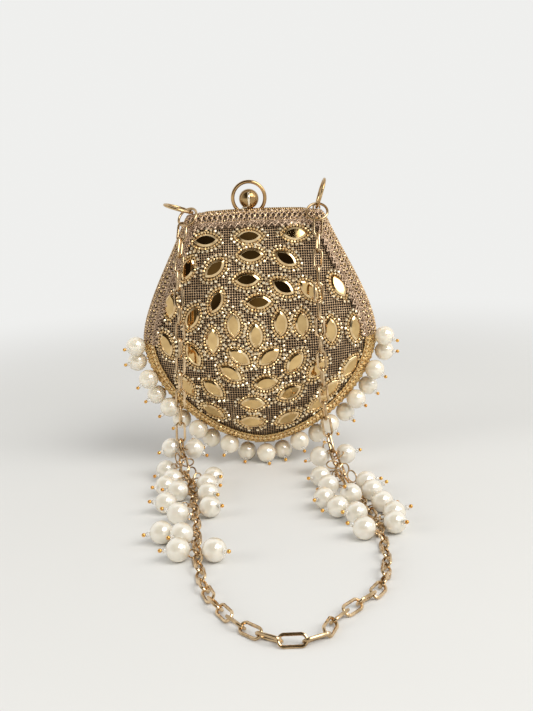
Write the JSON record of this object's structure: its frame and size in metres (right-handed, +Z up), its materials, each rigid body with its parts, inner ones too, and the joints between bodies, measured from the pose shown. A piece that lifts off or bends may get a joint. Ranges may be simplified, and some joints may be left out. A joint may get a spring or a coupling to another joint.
{
  "type": "mini metal clutch",
  "caption": "Pear-shaped clamshell clutch of antique gold with a ring-and-ball clasp, corner rings, a chain strap with pearl clusters and a pearl fringe; a hinge at the foot lets it open.",
  "frame": {"origin": "on the surface it stands on, under the middle of the closed body where its two halves meet", "axes": "+Z up through the clasp, +Y towards the back half, +X towards the right as seen from the front"},
  "size_m": [0.1392, 0.2279, 0.1465],
  "materials": {
    "antique_gold": "polished, slightly aged",
    "rose_gold_chain": "polished",
    "gold_braid": "metallic thread lace",
    "bronze_mesh": "woven wire cloth",
    "shell_metal": "satin",
    "lining_fabric": "matte satin cloth",
    "pearl_ivory": "pearlescent",
    "steel_pin": "plain"
  },
  "bodies": {
    "front_half": {"clasp_ball": "antique_gold", "fringe_pearl_01": "pearl_ivory", "fringe_pearl_02": "pearl_ivory", "fringe_pearl_03": "pearl_ivory", "fringe_pearl_04": "pearl_ivory", "fringe_pearl_05": "pearl_ivory", "fringe_pearl_06": "pearl_ivory", "fringe_pearl_07": "pearl_ivory", "fringe_pearl_08": "pearl_ivory", "fringe_pearl_09": "pearl_ivory", "fringe_pearl_10": "pearl_ivory", "fringe_pearl_11": "pearl_ivory", "fringe_pearl_12": "pearl_ivory", "fringe_pearl_13": "pearl_ivory", "fringe_pearl_14": "pearl_ivory", "fringe_pearl_15": "pearl_ivory", "fringe_pearl_16": "pearl_ivory", "fringe_pearl_17": "pearl_ivory", "fringe_pearl_18": "pearl_ivory", "fringe_pearl_19": "pearl_ivory", "fringe_pearl_20": "pearl_ivory", "fringe_pearl_21": "pearl_ivory", "front_cover": "bronze_mesh", "front_frame": "antique_gold", "front_hinge_leaf": "antique_gold", "front_lining": "lining_fabric", "front_lower_braid": "gold_braid", "front_shell": "shell_metal", "front_upper_braid": "gold_braid", "hinge_pin": "steel_pin", "left_eye": "antique_gold", "left_pearls_1": "pearl_ivory", "left_pearls_2": "pearl_ivory", "left_pearls_3": "pearl_ivory", "left_strap_ring": "rose_gold_chain", "right_eye": "antique_gold", "right_pearls_1": "pearl_ivory", "right_pearls_2": "pearl_ivory", "right_pearls_3": "pearl_ivory", "right_strap_ring": "rose_gold_chain", "strap_chain": "rose_gold_chain"},
    "back_half": {"back_frame": "antique_gold", "back_lining": "lining_fabric", "back_shell": "shell_metal", "back_cover": "bronze_mesh", "back_upper_braid": "gold_braid", "back_lower_braid": "gold_braid", "back_hinge_leaf": "antique_gold", "clasp_ring": "antique_gold"},
    "left_ring": {"left_corner_ring": "antique_gold"},
    "right_ring": {"right_corner_ring": "antique_gold"}
  },
  "joints": [
    {"name": "back_half_hinge", "type": "hinge", "parent": "front_half", "child": "back_half", "pos_m": [0, 0.003, 0.0089], "axis": [-1, 0, 0], "range_deg": [0, 60]},
    {"name": "left_ring_swing", "type": "hinge", "parent": "front_half", "child": "left_ring", "pos_m": [-0.0314, -0.001, 0.13155], "axis": [0, 1, 0], "range_deg": [-16, 78]},
    {"name": "right_ring_swing", "type": "hinge", "parent": "front_half", "child": "right_ring", "pos_m": [0.0314, -0.001, 0.13155], "axis": [0, 1, 0], "range_deg": [-90, 70]}
  ]
}
